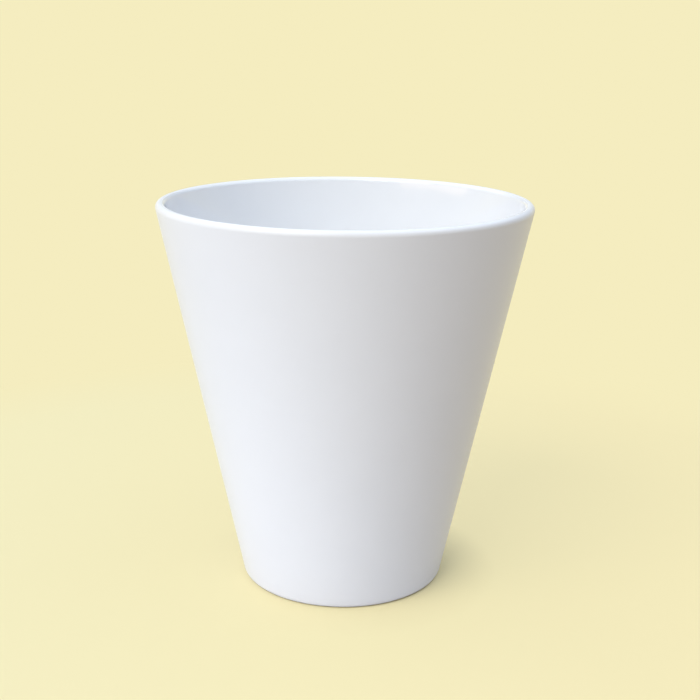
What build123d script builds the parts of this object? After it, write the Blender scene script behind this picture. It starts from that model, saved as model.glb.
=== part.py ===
from build123d import *
import os
from math import asin, atan2, cos, hypot, radians, sin, tan

# Conical plastic cup, moulded in one piece: a straight tapered wall with a full-round lip,
# a flat floor, and a shallow hollow underneath that leaves a foot ring to stand on.
# Millimetres, +Z up. The origin is on the axis, in the plane that the foot ring stands on.

# Outside
cup_height = 100.0  # from the foot ring to the top of the lip
lip_diameter = 95.0  # widest, across the outside of the lip
foot_diameter = 53.0  # where the outer wall, carried straight down, meets the foot ring's plane
foot_edge_radius = 1.5  # round between the outer wall and the foot ring

# Wall and floor
lip_thickness = 2.5  # the lip is a full round of this diameter
heel_thickness = 3.0  # wall, measured level where it meets the floor
floor_thickness = 3.0  # over the hollow underneath
floor_corner_radius = 6.0  # inside, between floor and wall

# Underside
foot_ring_width = 5.0  # across the ring before its outer edge is rounded
recess_depth = 1.5  # hollow inside the foot ring
recess_draft = 30.0  # lean of the hollow's side, degrees from upright

# The lip's round, seen in section
lip_radius = lip_thickness / 2
lip_centre = Vector(lip_diameter / 2 - lip_radius, cup_height - lip_radius)
lip_top = Vector(lip_centre.X, cup_height)


# Lean from upright, in radians, of a wall that starts at a corner and runs tangent into the lip.
# side is +1 for the outer wall and -1 for the inner wall.
def wall_lean(corner, side):
    reach = lip_centre - corner
    return atan2(reach.X, reach.Y) + side * asin(lip_radius / hypot(reach.X, reach.Y))


# Point where a wall of that lean meets the lip's round
def lip_tangent(lean, side):
    return lip_centre + Vector(cos(lean), -sin(lean)) * (side * lip_radius)


# Outer wall
foot_corner = Vector(foot_diameter / 2, 0)
outer_lean = wall_lean(foot_corner, +1)
outer_tangent = lip_tangent(outer_lean, +1)

# Inner wall and floor
floor_height = recess_depth + floor_thickness
outer_radius_at_floor = foot_corner.X + floor_height * tan(outer_lean)
floor_corner = Vector(outer_radius_at_floor - heel_thickness, floor_height)
floor_centre = Vector(0, floor_height)
inner_lean = wall_lean(floor_corner, -1)
inner_tangent = lip_tangent(inner_lean, -1)

# Hollow underneath
ring_inner_edge = Vector(foot_corner.X - foot_ring_width, 0)
recess_corner = Vector(ring_inner_edge.X - recess_depth * tan(radians(recess_draft)), recess_depth)
recess_centre = Vector(0, recess_depth)

# Half section, drawn from the middle of the hollow out to the foot, up the outer wall,
# over the lip and down the inner wall to the middle of the floor, then turned about the axis
with BuildPart() as cup:
    with BuildSketch(Plane.XZ):
        with BuildLine():
            Polyline(recess_centre, recess_corner, ring_inner_edge)
            FilletPolyline(ring_inner_edge, foot_corner, outer_tangent, radius=foot_edge_radius)
            ThreePointArc(outer_tangent, lip_top, inner_tangent)
            FilletPolyline(inner_tangent, floor_corner, floor_centre, radius=floor_corner_radius)
            Line(floor_centre, recess_centre)
        make_face()
    revolve(axis=Axis.Z)

os.makedirs("parts", exist_ok=True)
export_step(cup.part, "parts/cone_cup.step")
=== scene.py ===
from math import asin, atan2, cos, hypot, pi, radians, sin, tan

import bpy
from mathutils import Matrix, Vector


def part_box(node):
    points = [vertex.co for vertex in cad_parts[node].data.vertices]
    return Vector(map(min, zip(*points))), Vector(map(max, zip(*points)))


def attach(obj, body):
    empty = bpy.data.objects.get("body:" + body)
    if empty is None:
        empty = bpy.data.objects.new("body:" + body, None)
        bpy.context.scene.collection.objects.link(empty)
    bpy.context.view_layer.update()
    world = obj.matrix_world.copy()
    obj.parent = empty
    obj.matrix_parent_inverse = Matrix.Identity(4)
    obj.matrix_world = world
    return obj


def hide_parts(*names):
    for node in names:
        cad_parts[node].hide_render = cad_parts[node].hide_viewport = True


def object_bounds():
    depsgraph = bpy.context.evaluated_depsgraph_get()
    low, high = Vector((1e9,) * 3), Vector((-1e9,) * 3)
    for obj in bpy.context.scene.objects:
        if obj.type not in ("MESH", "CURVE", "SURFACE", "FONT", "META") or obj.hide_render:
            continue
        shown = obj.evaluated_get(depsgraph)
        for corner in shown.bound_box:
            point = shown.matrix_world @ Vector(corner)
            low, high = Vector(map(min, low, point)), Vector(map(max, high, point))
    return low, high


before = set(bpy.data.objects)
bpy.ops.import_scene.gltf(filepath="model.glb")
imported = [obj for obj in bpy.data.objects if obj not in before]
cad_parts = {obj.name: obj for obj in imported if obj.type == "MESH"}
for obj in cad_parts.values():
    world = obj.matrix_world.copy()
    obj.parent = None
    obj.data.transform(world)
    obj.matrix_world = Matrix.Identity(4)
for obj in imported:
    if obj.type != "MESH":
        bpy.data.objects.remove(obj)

cadLow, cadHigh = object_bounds()
mm = 0.001
origin = (0, 0, 0)
onLevel = (1, 1, 0)  # times this, a place loses its height
black = (0, 0, 0, 1)
noiseMiddle = 0.5  # what a noise texture averages
mixSockets = {"first": 6, "second": 7, "result": 2}  # where a Mix node has its colours
print("frame loaded, the cup stands", round(cadHigh.z / mm, 2), "mm tall")


# One output socket of a node. Sums, differences and products of wires add Math nodes.
class Wire:
    def __init__(self, tree, socket):
        self.tree = tree
        self.socket = socket

    # any node: its type, its settings, the values or wires of its sockets, and the output to go on from
    @classmethod
    def node(cls, tree, kind, settings, sockets, output=0):
        made = tree.nodes.new("ShaderNode" + kind)
        for name, value in settings.items():
            setattr(made, name, value)
        for name, value in sockets.items():
            if isinstance(value, Wire):
                tree.links.new(value.socket, made.inputs[name])
            else:
                made.inputs[name].default_value = value
        return cls(tree, made.outputs[output]) if made.outputs else None

    def other(self, output):  # another output of the same node
        return Wire(self.tree, self.socket.node.outputs[output])

    def maths(self, operation, first, second, clamp=False):
        settings = {"operation": operation, "use_clamp": clamp}
        return Wire.node(self.tree, "Math", settings, {0: first, 1: second})

    def __add__(self, other):
        return self.maths("ADD", self, other)

    def __radd__(self, other):
        return self.maths("ADD", other, self)

    def __sub__(self, other):
        return self.maths("SUBTRACT", self, other)

    def __rsub__(self, other):
        return self.maths("SUBTRACT", other, self)

    def __mul__(self, other):
        return self.maths("MULTIPLY", self, other)

    def __rmul__(self, other):
        return self.maths("MULTIPLY", other, self)

    def larger(self, other):
        return self.maths("MAXIMUM", self, other)

    def ramp(self, start, end):  # 0 up to start, 1 from end on
        return self.maths("MULTIPLY", self - start, 1 / (end - start), clamp=True)


def newMaterial(name):
    material = bpy.data.materials.new(name)
    material.use_nodes = True
    material.node_tree.nodes.clear()
    return material, material.node_tree


def newObject(name, data):
    made = bpy.data.objects.new(name, data)
    bpy.context.scene.collection.objects.link(made)
    return made


def blendColours(tree, share, first, second):
    sockets = {"Factor": share, mixSockets["first"]: first, mixSockets["second"]: second}
    return Wire.node(tree, "Mix", {"data_type": "RGBA"}, sockets, output=mixSockets["result"])


# Cup: sizes of the section that the frame's box doesn't give
cup = {
    "name": "cup",
    "footDiameter": 53 * mm,  # outer wall carried down to the ground
    "footEdge": 1.5 * mm,
    "lipThickness": 2.5 * mm,  # full round
    "heelThickness": 3 * mm,
    "floorThickness": 3 * mm,
    "floorCorner": 6 * mm,
    "ringWidth": 5 * mm,
    "recessDepth": 1.5 * mm,
    "recessDraft": radians(30),
    "recessEdge": 0.4 * mm,  # small rounds on both edges of the hollow underneath
    "turns": 288,  # faces round the axis
    "roundStep": radians(5),
    "roundLeast": 4,  # steps in the shortest round
    "wallSteps": 16,
    "floorSteps": 6,
    "ringSteps": 3,
    "normalWeight": 100,  # large faces set the normals, so the straight walls shade evenly
}


def roundCorner(before, corner, after, radius):
    # points along the round that replaces a corner, tangent point to tangent point
    back = (before - corner).normalized()
    ahead = (after - corner).normalized()
    half = back.angle(ahead) / 2
    centre = corner + (back + ahead).normalized() * (radius / sin(half))
    start = (corner + back * (radius / tan(half)) - centre).normalized()
    end = (corner + ahead * (radius / tan(half)) - centre).normalized()
    steps = max(cup["roundLeast"], round((pi - 2 * half) / cup["roundStep"]))
    return [centre + start.slerp(end, i / steps) * radius for i in range(steps + 1)]


def straightRun(start, end, steps):
    # points between two ends, closer together near the ends
    shares = [(1 - cos(pi * i / steps)) / 2 for i in range(1, steps)]
    return [start.lerp(end, share) for share in shares]


def cupSection():
    low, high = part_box("cone_cup")
    lipRadius = cup["lipThickness"] / 2
    lipCentre = Vector(((high.x - low.x) / 2 - lipRadius, high.z - lipRadius))

    def wallLean(corner, side):  # the wall from this corner runs tangent into the lip
        reach = lipCentre - corner
        return atan2(reach.x, reach.y) + side * asin(lipRadius / hypot(reach.x, reach.y))

    def lipTangent(lean, side):
        return lipCentre + Vector((cos(lean), -sin(lean))) * (side * lipRadius)

    foot = Vector((cup["footDiameter"] / 2, 0))
    outerLean = wallLean(foot, 1)
    outerTop = lipTangent(outerLean, 1)
    floorHeight = cup["recessDepth"] + cup["floorThickness"]
    heel = Vector((foot.x + floorHeight * tan(outerLean) - cup["heelThickness"], floorHeight))
    innerLean = wallLean(heel, -1)
    innerTop = lipTangent(innerLean, -1)
    floorMiddle = Vector((0, floorHeight))
    ring = Vector((foot.x - cup["ringWidth"], 0))
    recess = Vector((ring.x - cup["recessDepth"] * tan(cup["recessDraft"]), cup["recessDepth"]))
    recessMiddle = Vector((0, cup["recessDepth"]))

    roof = roundCorner(recessMiddle, recess, ring, cup["recessEdge"])
    ringEdge = roundCorner(recess, ring, foot, cup["recessEdge"])
    footEdge = roundCorner(ring, foot, outerTop, cup["footEdge"])
    floorCorner = roundCorner(innerTop, heel, floorMiddle, cup["floorCorner"])
    lipSteps = round(pi / cup["roundStep"])
    startAngle = -outerLean
    endAngle = pi - innerLean
    lip = []
    for i in range(lipSteps + 1):
        angle = startAngle + (endAngle - startAngle) * i / lipSteps
        lip.append(lipCentre + Vector((cos(angle), sin(angle))) * lipRadius)

    section = [recessMiddle]
    section += straightRun(recessMiddle, roof[0], cup["floorSteps"]) + roof
    section += ringEdge
    section += straightRun(ringEdge[-1], footEdge[0], cup["ringSteps"]) + footEdge
    section += straightRun(footEdge[-1], lip[0], cup["wallSteps"]) + lip
    section += straightRun(lip[-1], floorCorner[0], cup["wallSteps"]) + floorCorner
    section += straightRun(floorCorner[-1], floorMiddle, cup["floorSteps"]) + [floorMiddle]

    # the middle of the wall's thickness: its radius at the ground, and what that gains with height
    slope = (tan(innerLean) + tan(outerLean)) / 2
    midWall = {"radius": lipCentre.x - lipCentre.y * slope, "slope": slope}
    return section, midWall


def latheMesh(name, section, turns):
    # the section, from the centre line outwards, turned about Z into one skin
    points = []
    rings = []
    for at in section:
        if at.x == 0:
            rings.append([len(points)] * turns)
            points.append((0, 0, at.y))
            continue
        rings.append(list(range(len(points), len(points) + turns)))
        for i in range(turns):
            angle = 2 * pi * i / turns
            points.append((at.x * cos(angle), at.x * sin(angle), at.y))
    faces = []
    for lower, upper in zip(rings, rings[1:]):
        for i in range(turns):
            k = (i + 1) % turns
            corners = [lower[i], lower[k], upper[k], upper[i]]
            faces.append(list(dict.fromkeys(corners)))  # three corners where a ring is one point
    mesh = bpy.data.meshes.new(name)
    mesh.from_pydata(points, [], faces)
    mesh.shade_smooth()
    mesh.validate()
    return mesh


# White moulded plastic: glossy inside, satin over the lip and outside
plastic = {
    "white": (0.88, 0.891, 0.908, 1),
    "shade": (0.848, 0.861, 0.882, 1),  # the moulding's slight clouding
    "cloudSize": 45,
    "cloudDetail": 3,
    "insideRoughness": 0.03,
    "outsideRoughness": 0.3,
    "roughnessDrift": 0.02,
    "glossFrom": 0.7 * mm,  # inwards of the wall's middle: the lip's crest stays satin
    "glossTo": 1.25 * mm,
    "grainSize": 2600,  # outside only
    "grainDetail": 2,
    "grainDepth": 0.004 * mm,
    "waveSize": 110,
    "waveDetail": 1,
    "waveDepth": 0.003 * mm,
    "ior": 1.5,
}


def plasticMaterial(midWall):
    material, tree = newMaterial("whitePlastic")
    place = Wire.node(tree, "TexCoord", {}, {}, output="Object")
    height = Wire.node(tree, "SeparateXYZ", {}, {"Vector": place}, output="Z")
    spread = Wire.node(tree, "VectorMath", {"operation": "MULTIPLY"}, {0: place, 1: onLevel})
    radius = Wire.node(tree, "VectorMath", {"operation": "LENGTH"}, {0: spread}, output="Value")

    # 1 on the inner wall and on top of the floor, 0 over the lip, outside and underneath
    depth = midWall["radius"] + height * midWall["slope"] - radius
    overFloor = height.ramp(cup["recessDepth"], cup["recessDepth"] + cup["floorThickness"])
    inside = depth.ramp(plastic["glossFrom"], plastic["glossTo"]) * overFloor

    def noise(name):
        sockets = {"Vector": place, "Scale": plastic[name + "Size"], "Detail": plastic[name + "Detail"]}
        return Wire.node(tree, "TexNoise", {}, sockets)

    cloud = noise("cloud")
    colour = blendColours(tree, cloud, plastic["white"], plastic["shade"])
    gain = plastic["outsideRoughness"] - plastic["insideRoughness"]
    drift = (cloud - noiseMiddle) * plastic["roughnessDrift"]
    roughness = plastic["outsideRoughness"] - inside * gain + drift

    wave = noise("wave") * (plastic["waveDepth"] / mm)
    grain = noise("grain") * (1 - inside) * (plastic["grainDepth"] / mm)
    normal = Wire.node(tree, "Bump", {}, {"Distance": mm, "Height": wave + grain})

    sockets = {"Base Color": colour, "Roughness": roughness, "Normal": normal, "IOR": plastic["ior"]}
    shader = Wire.node(tree, "BsdfPrincipled", {}, sockets)
    Wire.node(tree, "OutputMaterial", {}, {"Surface": shader})
    return material


section, midWall = cupSection()
cupMesh = latheMesh(cup["name"], section, cup["turns"])
cupMesh.materials.append(plasticMaterial(midWall))
cupObject = newObject(cup["name"], cupMesh)
weighted = cupObject.modifiers.new("evenNormals", "WEIGHTED_NORMAL")
weighted.weight = cup["normalWeight"]
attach(cupObject, "root")
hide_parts("cone_cup")
print("cup turned,", len(cupMesh.polygons), "faces")


# Floor: a wide flat sweep that turns up all round. Sizes in metres.
floor = {
    "name": "floor",
    "flatRadius": 2.5,
    "sweepRadius": 1,
    "sweepSteps": 16,
    "wallHeight": 2,
    "turns": 96,
    "matte": {"Roughness": 1, "Specular IOR Level": 0},
    "seen": (0.87, 0.805, 0.5, 1),  # straw, at one even level away from the cup
    "seenLevel": 1.05,
    "seenNear": (0.81, 0.75, 0.465, 1),  # the same tone where the lamps shade it
    "paintedShadowTint": (0.9, 0.76, 0.43, 1),  # painted warm tint towards the right, for the shadow that falls there
    "shadedTo": 0.09,  # shaded as a surface within this radius
    "evenFrom": 0.21,  # an even tone beyond this one
    "shadowDepth": 0.4,  # share of the shading that shows near the cup
    "contactFrom": 28 * mm,  # all of it shows within this radius
    "contactTo": 42 * mm,
    "dimWall": (0.32, 0.32, 0.33, 1),  # the wall's upper part, which only the gloss reflects
    "dimFrom": 0.5,
    "dimTo": 0.75,
    "sheet": (0.91, 0.91, 0.96, 1),  # what lights the cup from below: a pale sheet at its left
    "sheetCentre": (-0.1, -0.07, 0),
    "sheetFrom": 0.07,
    "sheetTo": 0.17,
    "coolSide": (0.455, 0.45, 0.48, 1),  # and a darker ground round it, cool at the left
    "warmSide": (0.43, 0.35, 0.27, 1),  # and warm at the right
    "sideSpread": 0.2,
}


def floorMaterial():
    material, tree = newMaterial("paleFloor")
    place = Wire.node(tree, "TexCoord", {}, {}, output="Object")
    across = Wire.node(tree, "SeparateXYZ", {}, {"Vector": place}, output="X")
    height = across.other("Z")

    def distance(centre):
        settings = {"operation": "DISTANCE"}
        return Wire.node(tree, "VectorMath", settings, {0: place, 1: centre}, output="Value")

    def surface(sockets):
        return Wire.node(tree, "BsdfPrincipled", {}, floor["matte"] | sockets)

    right = across.ramp(-floor["sideSpread"] / 2, floor["sideSpread"] / 2)

    # as the camera and the gloss see it: shaded near the cup, even further out
    away = distance(origin)
    clear = away.ramp(floor["contactFrom"], floor["contactTo"]) * (1 - floor["shadowDepth"])
    far = away.ramp(floor["shadedTo"], floor["evenFrom"]).larger(clear)
    # the shaded floor carries a painted warm tint towards the right, for the cup's shadow there
    shaded = surface({"Base Color": blendColours(tree, right, floor["seenNear"], floor["paintedShadowTint"])})
    upWall = height.ramp(floor["dimFrom"], floor["dimTo"])
    tone = blendColours(tree, upWall, floor["seen"], floor["dimWall"])
    glow = {"Base Color": black, "Emission Color": tone, "Emission Strength": floor["seenLevel"]}
    seen = Wire.node(tree, "MixShader", {}, {"Fac": far, 1: shaded, 2: surface(glow)})

    # as it lights the cup
    ground = blendColours(tree, right, floor["coolSide"], floor["warmSide"])
    offSheet = distance(floor["sheetCentre"]).ramp(floor["sheetFrom"], floor["sheetTo"])
    bounce = surface({"Base Color": blendColours(tree, offSheet, floor["sheet"], ground)})

    toCamera = Wire.node(tree, "LightPath", {}, {}, output="Is Camera Ray")
    toGloss = toCamera.other("Is Glossy Ray").larger(toCamera.other("Is Transmission Ray"))
    direct = toCamera.larger(toGloss)
    shader = Wire.node(tree, "MixShader", {}, {"Fac": direct, 1: bounce, 2: seen})
    Wire.node(tree, "OutputMaterial", {}, {"Surface": shader})
    return material


def buildFloor():
    section = [Vector((0, 0))]
    for i in range(floor["sweepSteps"] + 1):
        angle = pi / 2 * i / floor["sweepSteps"]
        reach = floor["flatRadius"] + floor["sweepRadius"] * sin(angle)
        section.append(Vector((reach, floor["sweepRadius"] * (1 - cos(angle)))))
    section.append(Vector((floor["flatRadius"] + floor["sweepRadius"], floor["wallHeight"])))
    mesh = latheMesh(floor["name"], section, floor["turns"])
    mesh.flip_normals()
    mesh.materials.append(floorMaterial())
    newObject(floor["name"], mesh)


buildFloor()
print("floor laid")


# Softboxes round the cup: azimuth 0 is the camera's side, 90 the cup's right; degrees, metres and watts
lamps = {
    "keyLeft": {
        "azimuth": -40, "elevation": 41, "distance": 1.5, "swing": 0, "shape": "RECTANGLE",
        "width": 1.2, "height": 1.1, "power": 12.65, "colour": (1, 0.963, 0.857),
    },
    "windowLeft": {  # a thin strip, for the light patch along the back of the lip
        "azimuth": -72.53, "elevation": 15.97, "distance": 1.75, "swing": 30.72, "shape": "ELLIPSE",
        "width": 1.871, "height": 0.083, "power": 0.95, "colour": (1, 0.72, 0.45),
    },
    "backLeft": {
        "azimuth": -120, "elevation": 35, "distance": 1.5, "swing": 0, "shape": "RECTANGLE",
        "width": 1.2, "height": 1.2, "power": 2.2, "colour": (1, 0.98, 0.95),
    },
    "topRight": {
        "azimuth": 100, "elevation": 62, "distance": 1.5, "swing": 0, "shape": "RECTANGLE",
        "width": 1.2, "height": 1.2, "power": 2.5, "colour": (0.5, 0.72, 1),
    },
}
sky = {"colour": (0.78, 0.865, 1, 1), "strength": 1.085}


def softbox(name, lamp):
    light = bpy.data.lights.new(name, "AREA")
    light.shape = lamp["shape"]
    light.size = lamp["width"]
    light.size_y = lamp["height"]
    light.energy = lamp["power"]
    light.color = lamp["colour"]
    made = newObject(name, light)
    made.visible_camera = False
    turn = radians(lamp["azimuth"])
    rise = radians(lamp["elevation"])
    away = Vector((sin(turn) * cos(rise), -cos(turn) * cos(rise), sin(rise)))
    aim = Vector((0, 0, cadHigh.z / 2))
    made.location = aim + away * lamp["distance"]
    swung = turn + radians(lamp["swing"])  # turned aside from the cup, about the vertical
    facing = Vector((sin(swung) * cos(rise), -cos(swung) * cos(rise), sin(rise)))
    made.rotation_euler = facing.to_track_quat("Z", "Y").to_euler()


def skyWorld():
    world = bpy.data.worlds.new("studio")
    world.use_nodes = True
    tree = world.node_tree
    tree.nodes.clear()
    background = Wire.node(tree, "Background", {}, {"Color": sky["colour"], "Strength": sky["strength"]})
    Wire.node(tree, "OutputWorld", {}, {"Surface": background})
    return world


for name, lamp in lamps.items():
    softbox(name, lamp)
bpy.context.scene.world = skyWorld()
print("lamps set:", ", ".join(lamps))


# Camera: the photograph's view
camera = {
    "lens": 61.84,
    "sensor": 36,
    "nearest": 10 * mm,
    "place": (0, -302.93 * mm, 143.64 * mm),
    "turn": (74.676, -0.556, -0.146),  # degrees about X, Y and Z
}
lens = bpy.data.cameras.new("camera")
lens.sensor_width = camera["sensor"]
lens.lens = camera["lens"]
lens.clip_start = camera["nearest"]
eye = newObject("camera", lens)
eye.location = camera["place"]
eye.rotation_euler = [radians(angle) for angle in camera["turn"]]
bpy.context.scene.camera = eye
bpy.context.scene.view_settings.view_transform = "Standard"
print("camera placed")
